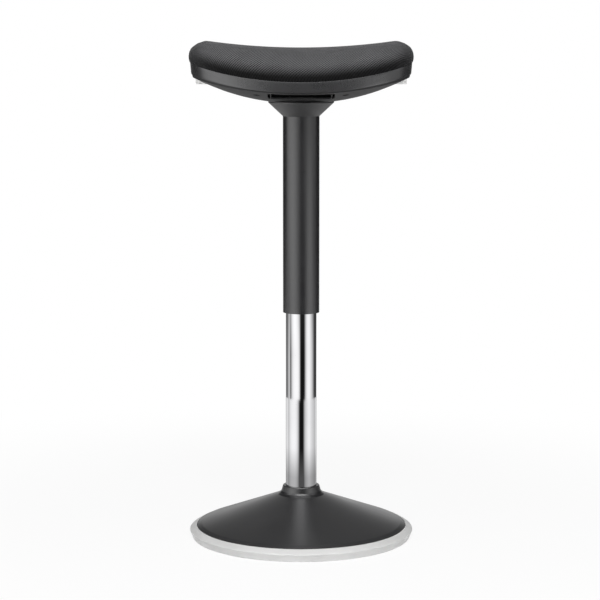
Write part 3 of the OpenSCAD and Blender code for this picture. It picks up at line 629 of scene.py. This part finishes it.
def slopedRib(x, start, end):  # a thin rib that follows the bowl across a window
    shape = bmesh.new()
    bmesh.ops.create_cube(shape, size=1)
    sink = window["ribSink"]
    for vert in shape.verts:
        y = end if vert.co.y > 0 else start
        height = shell["wall"] - sink if vert.co.z > 0 else sink
        vert.co = (x + window["ribWide"] * vert.co.x, y, bowlAt(x, y) + height)
    return shape


def combine(piece, shapes, operation):
    tools = [linkMesh("tool", inMetres(shape)) for shape in shapes]
    for tool in tools:
        change = piece.modifiers.new("change", "BOOLEAN")
        change.operation = operation
        change.solver = "EXACT"
        change.object = tool
    applyModifiers(piece)
    for tool in tools:
        bpy.data.objects.remove(tool)


def shellRings():  # from the middle underneath, up the side, and back inside
    rim, draft, turnIn, wall = (shell[name] for name in ("rim", "draft", "round", "wall"))
    footShare = 1 - 2 * (draft + turnIn) / seat["width"]
    rings = [bowlRing(share, 0) for share in shell["shares"]]
    rings += [bowlRing(footShare - shell["footBand"], 0), bowlRing(footShare, 0)]
    for angle in shell["roundAt"]:
        turn = math.radians(angle)
        rings.append(saddleRing(-draft - turnIn * (1 - math.sin(turn)),
                                -rim + turnIn * (1 - math.cos(turn))))
    rings += [saddleRing(-draft * share, -(rim - turnIn) * share) for share in shell["sideAt"]]
    rings += [saddleRing(out, height) for out, height in shell["edge"]]
    rings += [saddleRing(-wall, 0), saddleRing(-wall - draft, -(rim - turnIn) + wall)]
    return rings + [bowlRing(share, wall) for share in reversed(shell["shares"])]


def ordered(side, one, other):  # the lower end first, on either side of the middle
    return sorted((side * one, side * other))


def makeShell():
    piece = finishPiece("seat_pan", loftRings(shell["around"], shellRings()), "seat",
                        "shell_plastic", meshing["sharp"])
    top = seat["seam"]
    low, high = top - cutting["below"], top + cutting["above"]
    edge, slot, wall = seat["depth"] / 2 - window["lip"], paddle["slot"], shell["wall"]
    lipLow = bowlAt(lipRing["at"], 0) - lipRing["gap"] + lipRing["rise"]
    solids = [ringBar(lipRing["inner"], lipRing["outer"], lipLow, lipLow + lipRing["high"])]
    cutters = [roundBar(0, 0, low, top, shell["hole"], cutting["hole"])]
    ribs = []
    for side in (-1, 1):
        ends = ordered(side, window["inner"], edge)
        cutters.append(roundedBlock((-window["width"] / 2, ends[0]),
                                    (window["width"] / 2, ends[1]), window["corner"], low, top))
        ends = ordered(side, paddle["in"] - slot, paddle["out"] + slot)
        cutters.append(roundedBlock((ends[0], paddle["front"] - slot),
                                    (ends[1], paddle["back"] + slot + paddle["swing"]),
                                    paddle["corner"] + slot, low, high))
        for other in (-1, 1):
            x, y = side * screw["x"], other * screw["y"]
            floor = bowlAt(x, y)
            solids.append(roundBar(x, y, floor + wall - screw["bossSink"],
                                   top + rise(x) + screw["bossRise"], screw["boss"],
                                   cutting["boss"]))
            cutters.append(roundBar(x, y, low, floor + screw["pocketDeep"], screw["pocket"],
                                    cutting["boss"]))
            cutters.append(roundBar(x, y, low, high, screw["bore"], cutting["bore"]))
            ribs.append(slopedRib(side * window["ribAt"],
                                  other * (window["inner"] - window["ribLap"]),
                                  other * (edge + window["ribLap"])))
    combine(piece, solids, "UNION")
    combine(piece, cutters, "DIFFERENCE")
    combine(piece, ribs, "UNION")
    piece.data.shade_smooth()
    piece.data.set_sharp_from_angle(angle=math.radians(meshing["sharp"]))
    dress(piece, "shell_plastic")
    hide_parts("seat_shell")
    print("shell:", len(piece.data.polygons), "faces")


makeShell()

# metres and degrees; aim is the height that a lamp points at, power is watts per level and m2
studio = {"ambient": 0.2, "power": 4, "shadowShare": 0.12, "shadowStart": 0.3,
          "shadowReach": 1.2, "floorHalf": 12, "floorShade": (0.9, 0.9, 0.9), "floorRough": 0.9,
          "left": {"turn": -50, "size": (1.6, 1.4), "away": 3.0, "height": 0.9, "level": 2.4,
                   "aim": 0.45},
          "right": {"turn": 55, "size": (1.6, 1.4), "away": 3.0, "height": 0.9, "level": 2.5,
                    "aim": 0.45},
          "top": {"turn": 0, "size": (2.0, 1.4), "away": 2.4, "height": 2.65, "level": 8.3,
                  "aim": 0.78}}


def onRing(azimuth, away, height):  # a point round the stool; 0 is towards the camera
    turn = math.radians(azimuth)
    return Vector((away * math.sin(turn), -away * math.cos(turn), height))


def addLamp(name, lamp):
    light = bpy.data.lights.new(name, "AREA")
    light.shape = "RECTANGLE"
    light.size, light.size_y = lamp["size"]
    light.energy = lamp["level"] * light.size * light.size_y * studio["power"]
    holder = bpy.data.objects.new(name, light)
    holder.location = onRing(lamp["turn"], lamp["away"], lamp["height"])
    aim = Vector((0, 0, lamp["aim"])) - holder.location
    holder.rotation_euler = aim.to_track_quat("-Z", "Y").to_euler()
    holder.visible_camera = False
    holder.visible_glossy = False
    scene.collection.objects.link(holder)


# what metal and gloss see: at each height, azimuth stops with a level, right is positive
room = {"radius": 1.25, "height": 2.4, "lampTop": 1.5, "fade": 0.5,
        "wall": [
            (0.1, [(-180, 0.4), (-160, 0.25), (-124, 0.2), (-112, 0.65), (-97, 0.85),
                   (-91, 0.6), (-86, 0.12), (-81, 0.3), (-74, 0.85), (-62, 1.3), (-48, 1.5),
                   (-28, 1.5), (-17, 1.25), (-11, 0.8), (-6, 0.1), (0, 0.01), (20, 0.01),
                   (26, 0.15), (32, 0.7), (40, 1.15), (50, 1.45), (64, 1.45), (80, 1.1),
                   (92, 0.75), (104, 0.3), (117, 0.05), (140, 0.05), (160, 0.35), (180, 0.4)]),
            (0.38, [(-180, 0.03), (-120, 0.03), (-104, 0.2), (-90, 0.9), (-72, 1.7),
                    (-48, 1.9), (-34, 1.4), (-20, 0.5), (-8, 0.05), (20, 0.03), (32, 0.6),
                    (42, 1.3), (56, 1.5), (66, 1.2), (80, 0.35), (95, 0.1), (120, 0.03),
                    (180, 0.03)]),
            (0.66, [(-180, 0.15), (-125, 0.05), (-104, 0.1), (-93, 1.3), (-80, 1.6),
                    (-60, 1.6), (-46, 1.5), (-33, 1.15), (-20, 0.9), (-10, 0.55), (-4, 0.1),
                    (4, 0.01), (9, 0.2), (16, 0.42), (30, 0.5), (75, 0.52), (90, 0.75),
                    (97, 0.75), (104, 0.15), (125, 0.02), (180, 0.15)])],
        "wallGrid": (360, 24),
        "floor": [(-180, 0.4), (-160, 0.5), (-140, 1.1), (-120, 1.1), (-105, 0.8),
                  (-93, 1.15), (-73, 1.4), (-50, 1.45), (-38, 1.35), (-26, 1.0), (-18, 0.5),
                  (-12, 0.05), (-6, 0.01), (13, 0.01), (19, 0.2), (26, 0.7), (34, 1.0),
                  (50, 1.3), (62, 1.4), (79, 1.15), (92, 1.0), (112, 0.82), (127, 0.7),
                  (145, 1.2), (160, 0.5), (180, 0.4)],
        "floorInner": 0.2, "floorOuter": 1.25, "floorLift": 0.002, "floorGrid": (360, 4),
        "nearShare": 0.3, "near": 0.5, "nearLeast": 0.12,
        "back": {"half": 26, "soft": 8, "levels": [(0, 0.65), (0.15, 0.65), (0.37, 0.6),
                                                   (0.7, 0.42), (1.2, 0.22), (1.6, 0)]},
        "front": {"half": 50, "soft": 20, "low": 1.5, "softLow": 0.2, "level": 2.2},
        "ceiling": {"level": 4.5, "full": 60, "none": 110, "middle": 0.1, "middleDim": 0.5,
                    "grid": (90, 4)}}


def between(stops, at):
    if at <= stops[0][0]:
        return stops[0][1]
    for (low, one), (high, other) in zip(stops, stops[1:]):
        if low <= at <= high:
            return one + (other - one) * (at - low) / (high - low)
    return stops[-1][1]


def smooth(low, high, at):
    share = min(1.0, max(0.0, (at - low) / (high - low)))
    return share * share * (3 - 2 * share)


def wallLevel(azimuth, share):
    height = share * room["height"]
    back, front = room["back"], room["front"]
    level = between([(at, between(stops, azimuth)) for at, stops in room["wall"]], height)
    level *= 1 - smooth(room["lampTop"], room["lampTop"] + room["fade"], height)
    behind = smooth(back["half"] - back["soft"], back["half"], 180 - abs(azimuth))
    ahead = smooth(front["half"] - front["soft"], front["half"], abs(azimuth))
    raised = smooth(front["low"] - front["softLow"], front["low"], height)
    return (level + between(back["levels"], height) * (1 - behind)
            + front["level"] * (1 - ahead) * raised)


def floorLevel(azimuth, share):
    level = between(room["floor"], azimuth)
    return level if share > room["nearShare"] else max(room["nearLeast"], level * room["near"])


def ceilingLevel(azimuth, share):
    sheet = room["ceiling"]
    if share <= sheet["middle"]:
        return sheet["level"] * sheet["middleDim"]
    return sheet["level"] * (1 - smooth(sheet["full"], sheet["none"], abs(azimuth)))


def addReflector(name, grid, place, level):  # a glowing sheet that only reflections see
    shape = bmesh.new()
    glow = shape.verts.layers.float.new("glow")
    bmesh.ops.create_grid(shape, x_segments=grid[0], y_segments=grid[1], size=1)
    for vert in shape.verts:
        azimuth = vert.co.x * 180
        share = (vert.co.y + 1) / 2
        vert[glow] = level(azimuth, share)
        vert.co = place(azimuth, share)
    sheet = linkMesh(name, shape)
    for kind in ("camera", "diffuse", "transmission", "shadow", "volume_scatter"):
        setattr(sheet, "visible_" + kind, False)
    shine = Finish(name)
    strength = shine.add("Attribute", {"attribute_name": "glow"}, output="Fac")
    shine.show(shine.add("Emission", None, {"Color": (1, 1, 1), "Strength": strength}))
    sheet.data.materials.append(shine.material)


def addRoom():
    radius, height = room["radius"], room["height"]
    inner, outer = room["floorInner"], room["floorOuter"]
    addReflector("reflectingWall", room["wallGrid"],
                 lambda azimuth, share: onRing(azimuth, radius, share * height), wallLevel)
    addReflector("reflectingCeiling", room["ceiling"]["grid"],
                 lambda azimuth, share: onRing(azimuth, share * radius, height), ceilingLevel)
    addReflector("reflectingFloor", room["floorGrid"],
                 lambda azimuth, share: onRing(azimuth, inner + (outer - inner) * share,
                                               room["floorLift"]), floorLevel)


def seenDirectly(finish):  # 1 for camera, mirror and glass rays
    rays = [finish.add("LightPath", output="Is " + kind + " Ray")
            for kind in ("Camera", "Glossy", "Transmission")]
    return rays[0].most(rays[1]).most(rays[2])


def makeWorld():
    world = bpy.data.worlds.new("studio")
    scene.world = world
    world.use_nodes = True
    air = Finish("air", world.node_tree)
    back = world.node_tree.nodes["Background"]
    back.inputs["Color"].default_value = (1, 1, 1, 1)
    ambient = studio["ambient"]
    air.feed(back.inputs["Strength"], seenDirectly(air) * (1 - ambient) + ambient)


def makeFloor():
    shape = bmesh.new()
    bmesh.ops.create_grid(shape, x_segments=1, y_segments=1, size=studio["floorHalf"])
    ground = linkMesh("floor", shape)
    pale = Finish("paleFloor", Base_Color=studio["floorShade"],
                  Roughness=studio["floorRough"], Specular_IOR_Level=0.0)
    away = pale.add("VectorMath", {"operation": "LENGTH"}, {0: pale.point()}, "Value")
    clear = away.band(studio["shadowStart"], studio["shadowReach"])
    shown = 1.0 - studio["shadowShare"] * (1.0 - clear)
    white = pale.add("Emission", None, {"Color": (1, 1, 1), "Strength": 1.0})
    pale.show(pale.blend(seenDirectly(pale) * shown, pale.body(), white))
    ground.data.materials.append(pale.material)


makeWorld()
makeFloor()
for side in ("left", "right", "top"):
    addLamp(side + "Softbox", studio[side])
addRoom()
scene.view_settings.view_transform = "Standard"
print("studio is set")
